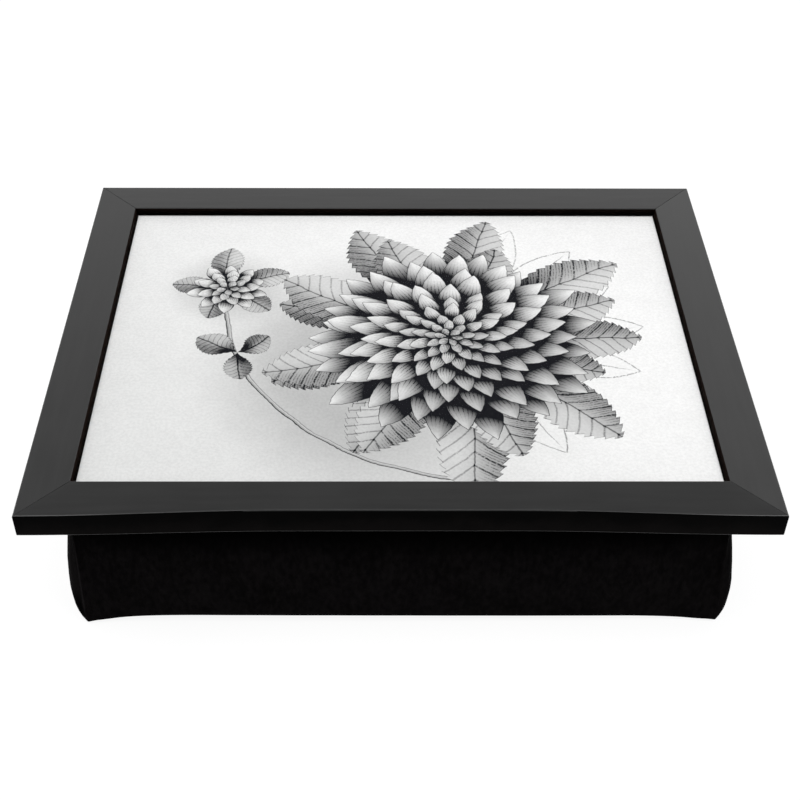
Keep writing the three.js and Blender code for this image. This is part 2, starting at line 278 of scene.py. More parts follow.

# Each rail's side of the tray, and the tones and gloss of its paint and of its stained sight edge. The tones
# differ by side as painted light and shade: the right rail's paint is painted lighter and the front rail's
# darker, and the back sight edge is painted darkest.
sides = {"front": (0, -1), "right": (1, 0), "back": (0, 1), "left": (-1, 0)}
paint_and_light_tones = {"front": 0.0035, "right": 0.0205, "back": 0.0095, "left": 0.0082}
paint_gloss = {"front": 0.42, "right": 0.5, "back": 0.5, "left": 0.5}
streak_tones = {"front": 0.0014, "right": 0.002, "back": 0.004, "left": 0.002}
stain_and_shade_tones = {"front": 1.0, "right": 0.75, "back": 0.4, "left": 0.95}


def satin_paint_and_light(side, lengthwise):
    material, shade = blank_material(f"satin black paint and painted light, {side}")
    place = shade.node("ShaderNodeTexCoord", output="Object")
    streaks = place.stretched(20, 280, 280) if lengthwise == "x" else place.stretched(280, 20, 280)
    brushing = streaks.noise(1.0, 4.0)
    clouding = place.noise(28.0)
    specks = place.noise(2600.0, 1.0)
    # The base tone of each side's paint carries that side's painted light or shade.
    thin = grey(paint_and_light_tones[side] - streak_tones[side])
    full = grey(paint_and_light_tones[side] + streak_tones[side])
    tone = (brushing * 0.65 + clouding * 0.35).rise(0.35, 0.65).mix(thin, full)
    height = place.axis("Z")
    # Painted highlight: a lighter grey painted along the front rail's top edge near the corners.
    edge_highlight_height = rail_top - edge_highlight_depth
    top_edge = height.rise(rail_foot, edge_highlight_height) - height.rise(edge_highlight_height, rail_top)
    near_corner = abs(place.axis("X")).rise(edge_highlight_from, edge_highlight_full)
    at_front = 1 - (place.axis("Y") + tray_half.y).rise(rail_width / 4, rail_width / 2)
    coat(shade, {
        "Base Color": (top_edge * near_corner * at_front).mix(tone, grey(edge_highlight_tone)),
        "Roughness": 0.31 + clouding * 0.1 + brushing * 0.06,
        "Specular IOR Level": paint_gloss[side],
        "Normal": (brushing + specks * 0.6).relief(0.12, 0.04 * MM),
    })
    return material


def flat_paint():
    material, shade = blank_material("flat black paint")
    place = shade.node("ShaderNodeTexCoord", output="Object")
    grain = place.noise(900.0, 3.0)
    patches = place.noise(70.0, 3.0)
    low_down = 1 - place.axis("Z").rise(rail_foot, rail_top)
    # The sides go from deep black towards brown-black in patches, in grain and towards the foot.
    thin = grain * 0.4 + patches * 1.2 + low_down * 0.7
    deep_black = grey(0.0002)
    brown_black = (0.0034, 0.0029, 0.0028, 1)
    coat(shade, {
        "Base Color": thin.rise(0.8, 1.7).mix(deep_black, brown_black),
        "Roughness": 0.62 + patches * 0.15,
        "Specular IOR Level": 0.022,
        "Normal": grain.relief(0.2, 0.05 * MM),
    })
    return material


def sight_edge_stain_and_shade(side):
    material, shade = blank_material(f"stained sight edge with painted shade, {side}")
    place = shade.node("ShaderNodeTexCoord", output="Object")
    grain = place.stretched(140, 140, 900).noise(1.0, 4.0)
    patches = place.noise(40.0)
    # Each side's depth scales the stain by that side's painted shade.
    depth = stain_and_shade_tones[side]
    dark = (0.0024 * depth, 0.0013 * depth, 0.001 * depth, 1)
    light = (0.0105 * depth, 0.0058 * depth, 0.0044 * depth, 1)
    # Painted shade: the stain is painted darker low down, where the wall meets the print, and lighter higher
    # up.
    painted_shade_lifts_up = place.axis("Z").rise(lip_foot - 1 * MM, rail_top)
    coat(shade, {
        "Base Color": ((grain + patches) * 0.5 + painted_shade_lifts_up * 0.6).rise(0.5, 1.1).mix(dark, light),
        "Roughness": 0.7 + grain * 0.15,
        "Specular IOR Level": 0.01,
        "Normal": grain.relief(0.25, 0.05 * MM),
    })
    return material


def rail_mesh(half_length, hollow):
    """Draws the moulding's section along the rail, mitres both ends and eases the edges."""
    section = [
        (0, rail_foot, hollow_at_foot),
        (rebate_wall, rail_foot, 0),
        (rebate_wall, lip_foot, 0),
        (lip_toe, lip_foot, 0),
        (rail_width, rail_top, 0),
        (0, rail_top, hollow_at_top),
    ]
    foot_corner, sight_corner, top_corner = 0, 4, 5
    bm = bmesh.new()
    rings = []
    for along in np.linspace(-1, 1, hollow_steps + 1 if hollow else 2):
        past_flat = max(0, abs(along) * half_length - hollow_flat_half) / (half_length - hollow_flat_half)
        share = (1 + math.cos(math.pi * past_flat)) / 2 if hollow else 0
        ring = []
        for inward, up, planed in section:
            x = along * (half_length - inward - mitre_gap)
            ring.append(bm.verts.new((x, inward + planed * share, up)))
        rings.append(ring)
    count = len(section)
    long_edges = [[] for _ in section]
    for ring, following_ring in zip(rings, rings[1:]):
        for k in range(count):
            following = (k + 1) % count
            bm.faces.new((ring[k], following_ring[k], following_ring[following], ring[following]))
            long_edges[k].append(bm.edges.get((ring[k], following_ring[k])))
    bm.faces.new(rings[0])
    bm.faces.new(reversed(rings[-1]))
    bmesh.ops.recalc_face_normals(bm, faces=bm.faces)
    rounded = (
        (top_corner, top_edge_radius, 4),
        (sight_corner, sight_edge_radius, 2),
        (foot_corner, foot_edge_radius, 2),
    )
    for corner, radius, steps in rounded:
        edges = long_edges[corner]
        bmesh.ops.bevel(bm, geom=edges, offset=radius, segments=steps, profile=0.5, affect="EDGES")
    end_faces = [face for face in bm.faces if abs(face.normal.x) > 0.5]
    end_edges = list({edge for face in end_faces for edge in face.edges})
    bmesh.ops.bevel(bm, geom=end_edges, offset=mitre_ease, segments=1, profile=0.5, affect="EDGES")
    for face in bm.faces:
        on_top = face.normal.z > 0.6
        rubbed_foot = face.normal.y < -0.1 and face.normal.z < -0.1
        sight_edge = face.normal.y > 0.5 and face.calc_center_median().z > lip_foot
        if on_top or rubbed_foot:
            face.material_index = satin_slot
        elif sight_edge:
            face.material_index = stain_slot
        else:
            face.material_index = flat_slot
        face.smooth = True
    return bm


flat_black = flat_paint()
for turn, (side, (x, y)) in enumerate(sides.items()):
    lengthwise = "x" if x == 0 else "y"
    bm = rail_mesh(tray_half.x if lengthwise == "x" else tray_half.y, side == "front")
    place = Matrix.Translation((x * tray_half.x, y * tray_half.y, 0))
    bm.transform(place @ Matrix.Rotation(turn * math.pi / 2, 4, "Z"))
    coats = [satin_paint_and_light(side, lengthwise), flat_black, sight_edge_stain_and_shade(side)]
    rail = new_piece(f"painted_rail_{side}", [], [], coats)
    bm.to_mesh(rail.data)
    bm.free()
    rail.modifiers.new("even shading", "WEIGHTED_NORMAL").keep_sharp = True
    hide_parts(f"rail_{side}")
    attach(rail, "tray")

# Corner nails and retaining points: bright cut steel. Two bent V-nails are pressed up into each mitre from
# below, and flat points are driven into the rebate wall to hold the board in.
steel, shade = blank_material("bright cut steel")
place = shade.node("ShaderNodeTexCoord", output="Object")
drawn = place.stretched(300, 300, 4000).noise(1.0, 3.0)
stain = place.noise(160.0, 3.0)
coat(shade, {
    "Base Color": stain.rise(0.35, 0.75).mix((0.56, 0.56, 0.57, 1), (0.34, 0.32, 0.30, 1)),
    "Metallic": 1.0,
    "Roughness": 0.24 + drawn * 0.16,
    "Normal": drawn.relief(0.2, 0.03 * MM),
})


def recoat(node, material):
    piece = bpy.data.objects[node]
    piece.data.materials.clear()
    piece.data.materials.append(material)


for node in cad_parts:
    if node.startswith(("v_nail_", "retaining_point_")):
        recoat(node, steel)

# Tray board: a sheet of brown hardboard, smooth above and with a mesh pattern pressed in below. It drops
# into the rebate from underneath and carries the print.
hardboard, shade = blank_material("brown hardboard")
place = shade.node("ShaderNodeTexCoord", output="Object")
fibres = place.stretched(900, 260, 900).noise(1.0, 4.0)
flecks = place.noise(1500.0, 2.0)
mottle = place.noise(30.0, 3.0)
mesh_press = shade.node(
    "ShaderNodeTexVoronoi",
    {"feature": "F1", "distance": "CHEBYCHEV"},
    {"Vector": place.stretched(1, 1, 0), "Scale": 520.0, "Randomness": 0.0},
)
board_tone = (fibres * 0.5 + mottle * 0.5).mix((0.10, 0.052, 0.026, 1), (0.235, 0.135, 0.07, 1))
coat(shade, {
    "Base Color": flecks.rise(0.62, 0.8).mix(board_tone, (0.06, 0.032, 0.018, 1)),
    "Roughness": 0.62 + fibres * 0.2,
    "Normal": (mesh_press + fibres * 0.5).relief(0.5, 0.15 * MM),
})
recoat("tray_board", hardboard)

# Printed sheet: white paper with a watercolour tooth, glued on the board. It carries a plain ink drawing
# of a dahlia with its leaves and a bud, drawn ring by ring from the outermost petals inwards. Lengths in
# the drawing are in millimetres.
printed_paper, shade = blank_material("printed paper")
place = shade.node("ShaderNodeTexCoord", output="Object").stretched(1 / MM, 1 / MM, 1 / MM)


def unsteady(here, reach, scale):
    """Shifts a place to and fro, so that lines drawn there waver as a hand's do."""
    wander = here.noise(scale, 1.0)["Color"]
    wander = wander.vector("MULTIPLY_ADD", (2 * reach, 2 * reach, 0), (-reach, -reach, 0))
    return here.vector("ADD", wander)


hand_drawn = unsteady(unsteady(place, 2.2, 0.035), 0.5, 0.3)
across = hand_drawn.axis("X")
along = hand_drawn.axis("Y")
pencil = place.noise(0.9, 2.0)
wash = place.noise(0.06, 3.0)
Spot = namedtuple("Spot", "distance turn east north")


def polar(centre_x, centre_y):
    east = across - centre_x
    north = along - centre_y
    distance = (east * east + north * north).math("SQRT")
    turn = north.math("ARCTAN2", east) / (2 * math.pi)
    return Spot(distance, turn, east, north)


def cell(turn, count, start, seed):
    """Shares a turn among petals: the place across one petal, and its two throws of the dice."""
    spread = (turn + (1 + start)) % 1 * count
    number = spread.math("FLOOR")
    dice = turn.node("ShaderNodeCombineXYZ", None, {0: number, 1: seed})
    luck = turn.node("ShaderNodeTexWhiteNoise", {"noise_dimensions": "2D"}, {"Vector": dice})
    return spread - number - 0.5, luck["Value"], luck["Color"].axis("X")


def draw_over(under, ink, where):
    return where.node("ShaderNodeMix", {"data_type": "FLOAT"}, {0: where, 2: under, 3: ink})


petal_tip_power = 2.3
petal_least = 0.93
petal_varies = 0.14
petal_leans = 0.3
petal_veins = 3.5
vein_line = (0.1, 0.42)
petal_line = (0.2, 0.75)
petal_edge = (-0.1, 0.25)
lee_slope = 1.3
lee_span = (-30, 110)


def petal_half(length):
    return (1 - (length * 2 - 1).at_least(0.0) ** petal_tip_power) * 0.5


def petal_ring(under, spot, tip, count, start, seed, bare, pale):
    side, luck, lean = cell(spot.turn, count, start, seed)
    length = spot.distance / (tip * (petal_least + luck * petal_varies))
    side = side + (length - 0.5) * (lean - 0.5) * petal_leans
    half = petal_half(length)
    pitch = spot.distance * (2 * math.pi / count)
    inside = (half - abs(side)) * pitch
    fold = side / half.at_least(0.03)
    vein_gap = abs((fold * petal_veins + 0.5) % 1 - 0.5) * half * pitch / petal_veins
    veins = (1 - vein_gap.rise(*vein_line)) * (1 - length.rise(0.6, 0.98)) * pencil.rise(0.3, 0.6)
    outline = 1 - inside.rise(*petal_line)
    shadow = 1 - length.rise(bare - 0.26, bare + 0.07)
    cup = fold.rise(-0.3, 1.0)
    lee = (spot.east - spot.north * lee_slope).rise(*lee_span)
    light = pale - shadow * 1.05 - cup * 0.3 - lee * 0.27 - veins * 0.5 - outline * 0.9 + (luck - 0.5) * 0.14
    return draw_over(under, light.at_least(0.0), inside.rise(*petal_edge))


leaf_least = 0.72
leaf_varies = 0.4
leaf_leans = 0.26
leaf_widest_at = 0.36
leaf_taper = 1.56
leaf_half = 0.34
leaf_line = (0.2, 0.7)
leaf_edge = (-0.1, 0.3)
rib_line = (0.3, 0.8)
tooth_count = 11
tooth_slant = 9
tooth_depth = 0.035
branch_count = 8
branch_slant = 7
hatch_count = 34
hatch_slant = 26


def leaf_ring(under, spot, tip, root, count, start, seed):
    side, luck, _ = cell(spot.turn, count, start, seed)
    reach = (spot.distance - root) / ((tip - root) * (leaf_least + luck * leaf_varies))
    side = side + (luck - 0.5) * leaf_leans * reach
    saw = (reach * tooth_count - abs(side) * tooth_slant) % 1 * tooth_depth
    half = (1 - abs((reach - leaf_widest_at) * leaf_taper) ** 2.0).at_least(0.0) * leaf_half - saw
    pitch = spot.distance * (2 * math.pi / count)
    inside = (half - abs(side)) * pitch
    branch = abs((reach * branch_count - abs(side) * branch_slant) % 1 - 0.5)
    branches = (1 - branch.rise(0.03, 0.12)) * pencil.rise(0.25, 0.5)
    hatch = abs((reach * hatch_count - side * hatch_slant) % 1 - 0.5)
    hatches = (1 - hatch.rise(0.1, 0.24)) * side.rise(-0.02, 0.12) * pencil.rise(0.35, 0.6)
    rib = 1 - (abs(side) * pitch).rise(*rib_line)
    outline = 1 - inside.rise(*leaf_line)
    shadow = 1 - reach.rise(0.0, 0.55)
    light = 0.68 - side.rise(-0.15, 0.2) * 0.36 - shadow * 0.62 + (luck - 0.5) * 0.2
    light = light - branches * 0.35 - hatches * 0.28 - outline * 0.55 - rib * 0.4
    return draw_over(under, light.at_least(0.0), inside.rise(*leaf_edge))


# The soft wash under the flower, then the loose outlined petals behind it, the stem and the leaves.
flower = polar(34, -2)
bud = polar(-116, 52)
cast = polar(4, -34)
drawing = 1.0 - wash.rise(0.3, 0.75) * 0.03
drawing = drawing - (1 - cast.distance.rise(62, 150)) * (1 - cast.east.rise(-40, 110) * 0.8) * 0.38
drawing = drawing - (1 - bud.distance.rise(16, 48)) * 0.22
loose_count = 17
loose_tip = 118
loose_varies = 16
loose_ink = 0.62
loose_side, loose_luck, _ = cell(flower.turn, loose_count, start=0.31, seed=40)
loose_pitch = flower.distance * (2 * math.pi / loose_count)
loose_reach = flower.distance / (loose_tip + loose_luck * loose_varies)
loose_edge = 1 - abs((petal_half(loose_reach) - abs(loose_side)) * loose_pitch).rise(0.3, 0.8)
loose_rib = (1 - (abs(loose_side) * loose_pitch).rise(0.2, 0.6)) * (1 - loose_reach.rise(0.85, 1.0))
loose_part = flower.east.rise(10, 70) * (1 - loose_reach.rise(0.99, 1.01)) * pencil.rise(0.3, 0.55)
drawing = drawing - ((loose_edge + loose_rib) * loose_part * loose_ink).at_most(loose_ink)
stem_radius = 176.4
stem_side = (1.3, 1.7)
stem_top = (46, 50)
stem_foot = (34, 36)
stem_bow = polar(60, 40).distance - stem_radius
stem_where = 1 - abs(stem_bow).rise(*stem_side)
stem_where = stem_where * (1 - along.rise(*stem_top)) * (1 - across.rise(*stem_foot))
stem_edge = abs(stem_bow).rise(0.7, 1.2)
drawing = draw_over(drawing, 0.78 - stem_bow.rise(-1.2, 1.2) * 0.4 - stem_edge * 0.5, stem_where)
drawing = leaf_ring(drawing, polar(-105, -18), tip=36, root=1, count=3, start=0.09, seed=23)
drawing = leaf_ring(drawing, flower, tip=142, root=58, count=9, start=0.06, seed=20)
drawing = leaf_ring(drawing, flower, tip=124, root=50, count=8, start=0.13, seed=21)


heart_tip = 2


def flower_head(under, spot, rings, twist, first_seed, pale, dimmer):
    for number, (tip, count) in enumerate(rings):
        inner_tip = rings[number + 1][0] if number + 1 < len(rings) else heart_tip
        brightness = pale - dimmer * number
        start = twist * number
        under = petal_ring(under, spot, tip, count, start, first_seed + number, inner_tip / tip, brightness)
    return under


# Each ring of petals: how far its tips reach, and how many petals it has.
outer_rings = ((96, 17), (90, 17), (80, 16), (69, 15), (58, 15))
inner_rings = ((47, 14), (37, 13), (27, 11), (18, 9), (10, 6))
bud_rings = ((27, 10), (21, 9), (14, 8), (8, 5))
flower_rings = outer_rings + inner_rings
drawing = flower_head(drawing, flower, flower_rings, twist=0.031, first_seed=0, pale=1.0, dimmer=0.035)
drawing = leaf_ring(drawing, bud, tip=44, root=12, count=5, start=0.02, seed=22)
drawing = flower_head(drawing, bud, bud_rings, twist=0.04, first_seed=60, pale=0.98, dimmer=0.06)

ink_black = (0.005, 0.0055, 0.008, 1)
paper_in_painted_shade = (0.736, 0.74, 0.734, 1)
paper_in_painted_light = (0.95, 0.95, 0.947, 1)
tooth_hollow_shade = 0.917
tooth = place.noise(0.55, 3.0)
# Painted light: the paper is painted darker towards the front left and lighter towards the back right.
painted_light_across_paper = (place.axis("X") + place.axis("Y") * 1.1).rise(-330, 200)
paper_tone = painted_light_across_paper.mix(paper_in_painted_shade, paper_in_painted_light)
# Painted shade: the hollows of the paper's tooth are painted darker.
tooth_hollows_in_painted_shade = paper_tone.stretched(tooth_hollow_shade, tooth_hollow_shade, tooth_hollow_shade)
paper_tone = tooth.rise(0.3, 0.7).mix(tooth_hollows_in_painted_shade, paper_tone)
coat(shade, {
    "Base Color": drawing.at_most(1.0).at_least(0.0).mix(ink_black, paper_tone),
    "Roughness": 0.7 + tooth * 0.2,
    "Specular IOR Level": 0.08,
    "Normal": tooth.relief(0.3, 0.15 * MM),
})
recoat("print_sheet", printed_paper)

# Clear film: a thin wipe-clean laminate rolled onto the print, its edge held under the lip of the rails.
# It is almost all see-through, with a faint satin shine on its outer side.
clear_laminate, shade = blank_material("clear laminate")
ripple = shade.node("ShaderNodeTexCoord", output="Object").noise(60.0, 2.0)
through = shade.node("ShaderNodeBsdfTransparent", None, {"Color": (1, 1, 1, 1)})
shine = shade.node("ShaderNodeBsdfPrincipled", None, {
    "Base Color": grey(0.9),
    "Metallic": 1.0,
    "Roughness": 0.2 + ripple * 0.1,
    "Normal": ripple.relief(0.1, 0.1 * MM),
})
glance = shade.node("ShaderNodeLayerWeight", None, {"Blend": 0.12}, output="Fresnel")
outside = 1 - shade.node("ShaderNodeNewGeometry", output="Backfacing")
film_shine_share = 0.3
film_mix = {0: glance * outside * film_shine_share, 1: through, 2: shine}
finish_surface(shade, shade.node("ShaderNodeMixShader", None, film_mix))
recoat("clear_film", clear_laminate)

# Hook strips: black woven tape with rows of small stiff plastic hooks, glued under the board. The hooks
# stand downwards, in rows across the tape, each one bent over at its end.
hook_pitch = 2.5 * MM
hook_thickness = 0.24 * MM
hook_margin = 2 * MM
hook_bend = np.array([(0, 0), (0.02, -0.45), (0.18, -0.76), (0.46, -0.86), (0.66, -0.62)]) * MM
hook_root = 0.05 * MM
tape_thickness = 0.6 * MM
tape_corner = 3 * MM


def tape_plastic(name, dark, light, roughness):
    material, shade = blank_material(name)
    place = shade.node("ShaderNodeTexCoord", output="Object")
    checks = {"Vector": place.stretched(1, 1, 0), "Scale": 1600.0}
    weave = shade.node("ShaderNodeTexChecker", None, checks, output="Fac")
    fuzz = place.noise(1900.0, 3.0)
    dust = place.noise(70.0, 3.0)
    coat(shade, {
        "Base Color": (fuzz * 0.6 + dust * 0.4).mix(grey(dark), grey(light)),
        "Roughness": roughness + fuzz * 0.2,
        "Specular IOR Level": 0.2,
        "Normal": (weave * 0.5 + fuzz).relief(0.5, 0.12 * MM),
    })
    return material


def slab(low, high, ease):
    """A flat length of tape with its four corners cut off by ease."""
    x0, y0, z0 = low
    x1, y1, z1 = high
    right = [(x1 - ease, y0), (x1, y0 + ease), (x1, y1 - ease), (x1 - ease, y1)]
    left = [(x0 + ease, y1), (x0, y1 - ease), (x0, y0 + ease), (x0 + ease, y0)]
    rim = right + left
    count = len(rim)
    points = [(x, y, z) for z in (z0, z1) for x, y in rim]
    walls = [(k, (k + 1) % count, (k + 1) % count + count, k + count) for k in range(count)]
    return points, [tuple(reversed(range(count))), tuple(range(count, 2 * count)), *walls]


def tube(rings, around):
    """Joins rings of points that follow each other into a closed tube."""
    faces = []
    for k in range(rings - 1):
        for j in range(around):
            following = (j + 1) % around
            low = k * around
            high = low + around
            faces.append((low + j, low + following, high + following, high + j))
    faces.append(tuple(reversed(range(around))))
    faces.append(tuple(range((rings - 1) * around, rings * around)))
    return faces


def add_faces(faces, more, start):
    faces.extend(tuple(start + corner for corner in face) for face in more)


def hook_rows(low, high, root):
    half = hook_thickness / 2
    square = [(-half, -half), (half, -half), (half, half), (-half, half)]
    hook = np.array([(x + a, b, z) for x, z in hook_bend for a, b in square])
    hook_faces = tube(len(hook_bend), len(square))
    rows = []
    for k in (0, 1):
        count = int((high[k] - low[k] - 2 * hook_margin) / hook_pitch) + 1
        rows.append(np.linspace(low[k] + hook_margin, high[k] - hook_margin, count))
    points, faces = [], []
    for i, x in enumerate(rows[0]):
        for j, y in enumerate(rows[1]):
            facing = 1 if (i + j) % 2 else -1
            add_faces(faces, hook_faces, len(points))
            points.extend(hook * (facing, facing, 1) + (x, y, root))
    return points, faces


hook_black = tape_plastic("hook tape", 0.006, 0.022, 0.38)
for side in sides:
    low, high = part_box(f"hook_strip_{side}")
    root = high.z - tape_thickness
    points, faces = slab((low.x, low.y, root), high, tape_corner)
    hooks, hook_faces = hook_rows(low, high, root + hook_root)
    add_faces(faces, hook_faces, len(points))
    strip = new_piece(f"hook_tape_{side}", points + hooks, faces, [hook_black])
    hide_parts(f"hook_strip_{side}")
    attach(strip, "tray")

# Loop strips: black tape with a soft brushed pile, sewn flat onto the cushion's top panel with a line of
# thread round its edge. The hooks press into the pile and hold the tray.
pile_pitch = 1.3 * MM
pile_inset = 0.5 * MM
pile_sunk = 0.05 * MM
pile_least = 0.66
pile_varies = 0.3
pile_sway = 0.35
stitch_pitch = 3.2 * MM
stitch_length = 2.4 * MM
stitch_inset = 2.2 * MM
stitch_press = 0.45 * MM
stitch_groove = 0.9 * MM
stitch_arch = ((-0.5, -0.9), (-0.3, 0.3), (0, 0.6), (0.3, 0.3), (0.5, -0.9))
thread_radius = 0.2 * MM
thread_sides = 5
chance = np.random.default_rng(7)


def grid_faces(columns, rows):
    faces = []
    for i in range(columns - 1):
        for j in range(rows - 1):
            a = i * rows + j
            faces.append((a, a + rows, a + rows + 1, a + 1))
    return faces


def pile_pad(low, high, root):
    """A closed pad with an uneven top, pressed down along the stitches."""
    counts = [int((high[k] - low[k]) / pile_pitch) + 1 for k in (0, 1)]
    xs, ys = (np.linspace(low[k], high[k], counts[k]) for k in (0, 1))
    grid_x, grid_y = np.meshgrid(xs, ys, indexing="ij")
    rim = np.minimum.reduce([grid_x - low[0], high[0] - grid_x, grid_y - low[1], high[1] - grid_y])
    sewn_down = np.exp(-(((rim - stitch_inset) / stitch_groove) ** 2)) * stitch_press
    at_rim = rim < pile_pitch / 2
    tall = (high[2] - root) * (pile_least + pile_varies * chance.random(grid_x.shape)) - sewn_down
    tall = np.where(at_rim, -pile_sunk, tall)
    sway = pile_sway * pile_pitch * (chance.random((2, *grid_x.shape)) - 0.5) * ~at_rim
    points = np.stack([grid_x + sway[0], grid_y + sway[1], root + tall], axis=-1)
    number = np.arange(grid_x.size).reshape(grid_x.shape)
    four_edges = (number[0, :-1], number[:-1, -1], number[-1, :0:-1], number[:0:-1, 0])
    edge = np.concatenate(four_edges).tolist()
    under_middle = (*((low + high) / 2).xy, root - pile_sunk)
    underside = [(here, following, grid_x.size) for here, following in zip(edge, edge[1:] + edge[:1])]
    return [*points.reshape(-1, 3), under_middle], grid_faces(*counts) + underside


def stitch_line(low, high, up):
    x0, x1 = low[0] + stitch_inset, high[0] - stitch_inset
    y0, y1 = low[1] + stitch_inset, high[1] - stitch_inset
    corners = [Vector(corner) for corner in ((x0, y0, up), (x1, y0, up), (x1, y1, up), (x0, y1, up))]
    upward = Vector((0, 0, 1))
    stitch_faces = tube(len(stitch_arch), thread_sides)
    points, faces = [], []
    for start, end in zip(corners, corners[1:] + corners[:1]):
        ahead = (end - start).normalized()
        aside = upward.cross(ahead)
        for number in range(int((end - start).length / stitch_pitch)):
            middle = start + ahead * (number + 0.5) * stitch_pitch
            add_faces(faces, stitch_faces, len(points))
            for forward, rise in stitch_arch:
                centre = middle + ahead * forward * stitch_length + upward * rise * thread_radius
                for k in range(thread_sides):
                    angle = k * 2 * math.pi / thread_sides
                    round_thread = aside * math.cos(angle) + upward * math.sin(angle)
                    points.append(centre + round_thread * thread_radius)
    return points, faces


loop_black = tape_plastic("loop tape", 0.003, 0.014, 0.75)
thread_black = tape_plastic("sewing thread", 0.012, 0.03, 0.5)
for side in sides:
    low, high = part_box(f"loop_strip_{side}")
    root = low.z + tape_thickness
    inset = Vector((pile_inset, pile_inset, 0))
    points, faces = slab(low, (high.x, high.y, root), pile_inset)
    pile, pile_faces = pile_pad(low + inset, high - inset, root)
    add_faces(faces, pile_faces, len(points))
    points = points + pile
    tape_face_count = len(faces)
    thread, thread_faces = stitch_line(low, high, root + pile_inset)
    add_faces(faces, thread_faces, len(points))
    strip = new_piece(f"loop_tape_{side}", points + thread, faces, [loop_black, thread_black])
    for number, face in enumerate(strip.data.polygons):
        face.material_index = 1 if number >= tape_face_count else 0
        face.use_smooth = True
    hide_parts(f"loop_strip_{side}")
    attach(strip, "cushion_top")

# Cushion: a box-shaped bag of soft black cloth, sewn from six panels and filled with polystyrene beads.
# The sewn bag is swelled by a cloth simulation, then its seams are drawn up into ridges. It has slumped a
# little to the right, and its short sides hang out over its foot.
bag_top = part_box("cushion_top")[1]
bag_height = bag_top.z
corner_flare = np.array((3.4, 9.1)) * MM
slump = 2.2 * MM
foot_turn = 0.75 * MM
bellies = {"front": 4 * MM, "right": 11.8 * MM, "back": 4 * MM, "left": 12.4 * MM}
belly_low_power = 0.41
long_belly_power = 4
short_belly_power = 16
seam_lift = 5.4 * MM
seam_slope = 1.6 * MM
seam_corner_power = 12
seam_draw_in = 2.7 * MM
ear_lift = 1 * MM
flat_share = 0.85
grid_steps = (80, 60, 22)
grid_crowding = 0.45
cloth_thickness = 1.2 * MM


def crowded(steps):
    even = np.linspace(-1, 1, steps + 1)
    return even * (1 + grid_crowding * (1 - even ** 2))


def sag(up):
    return np.sin(np.pi * up ** belly_low_power)


def between_corners(s):
    return 1 - np.abs(s) ** seam_corner_power


def seam_height(s, across):
    return ear_lift + (seam_lift - seam_slope * across - ear_lift) * between_corners(s)


def side_panel(side):
    x, y = sides[side]
    axis = 0 if x else 1
    sign = x + y
    up_steps = (crowded(grid_steps[2]) + 1) / 2
    s, up = np.meshgrid(crowded(grid_steps[1 - axis]), up_steps, indexing="ij")
    half = np.array(bag_top[:2]) + corner_flare * (1 - up)[..., None]
    rounded = np.sqrt(1 - s ** short_belly_power) if x else 1 - s ** long_belly_power
    tucked = seam_draw_in * between_corners(s) * (1 - up) ** 2
    low = seam_height(s, x if x else s)
    points = np.empty(s.shape + (3,))
    points[..., axis] = sign * (half[..., axis] + bellies[side] * rounded * sag(up) - tucked)
    points[..., 1 - axis] = s * half[..., 1 - axis]
    points[..., 2] = low + (bag_height - low) * up
    points[..., 0] += slump * (1 - up)
    points[..., 1] += foot_turn * points[..., 0] / bag_top.x * (1 - up)
    return points


def flat_grid():
    return np.meshgrid(crowded(grid_steps[0]), crowded(grid_steps[1]), indexing="ij")


def top_panel_points():
    s, t = flat_grid()
    return np.stack([s * bag_top.x, t * bag_top.y, np.full(s.shape, bag_height)], -1)


def bottom_panel_points():
    s, t = flat_grid()
    half = np.array(bag_top[:2]) + corner_flare
    rise_s, rise_t = (np.maximum(0, (np.abs(k) - flat_share) / (1 - flat_share)) ** 2 for k in (s, t))
    height = seam_height(t, s) * rise_s + seam_height(s, s) * rise_t - ear_lift * rise_s * rise_t
    x = s * (half[0] - seam_draw_in * between_corners(t)) + slump
    y = t * (half[1] - seam_draw_in * between_corners(s)) + foot_turn * x / bag_top.x
    return np.stack([x, y, height], -1)


nap_cloth, shade = blank_material("black nap cloth")
place = shade.node("ShaderNodeTexCoord", output="Object")
nap = place.noise(1400.0, 3.0)
brushed = place.stretched(1, 1, 0.6).noise(45.0, 4.0)
crushed = place.stretched(1, 1, 0.5).noise(330.0, 3.0)
seam_wear_and_highlight = shade.node("ShaderNodeAttribute", {"attribute_name": "seam_wear_and_highlight"}, output="Fac")
height = place.axis("Z")
aside = place.axis("X") - slump
end_starts = bag_top.x + 3 * MM
end_full = bag_top.x + 6 * MM
left_end = (aside * -1).rise(end_starts, end_full)
right_end = aside.rise(end_starts, end_full)
# Painted shade: a dark hollow low on the left side panel, beside the corner seam.
left_hollow_shade = left_end * (1 - height.rise(15 * MM, 32 * MM))
tone = (nap * 0.2 + crushed * 0.5 + brushed * 0.3).rise(0.36, 0.66)
tone = tone.mix((0.0019, 0.0016, 0.0017, 1), (0.0056, 0.0048, 0.0051, 1))
# Painted light on the left end's panel, and painted shade on the right end and in the left hollow.
tone = (left_end * 0.45).mix(tone, (0.0085, 0.0075, 0.0078, 1))
tone = (right_end * 0.25).at_least(left_hollow_shade).mix(tone, (0.0003, 0.00025, 0.00025, 1))
# The seams are painted lighter, mostly on the left: partly wear and partly a painted highlight on the ridge.
worn_and_lit = seam_wear_and_highlight.rise(0.45, 1.0) * (0.5 + crushed) * (1 - aside.rise(0, bag_top.x) * 0.95)
tone = worn_and_lit.mix(tone, (0.012, 0.0108, 0.0114, 1))
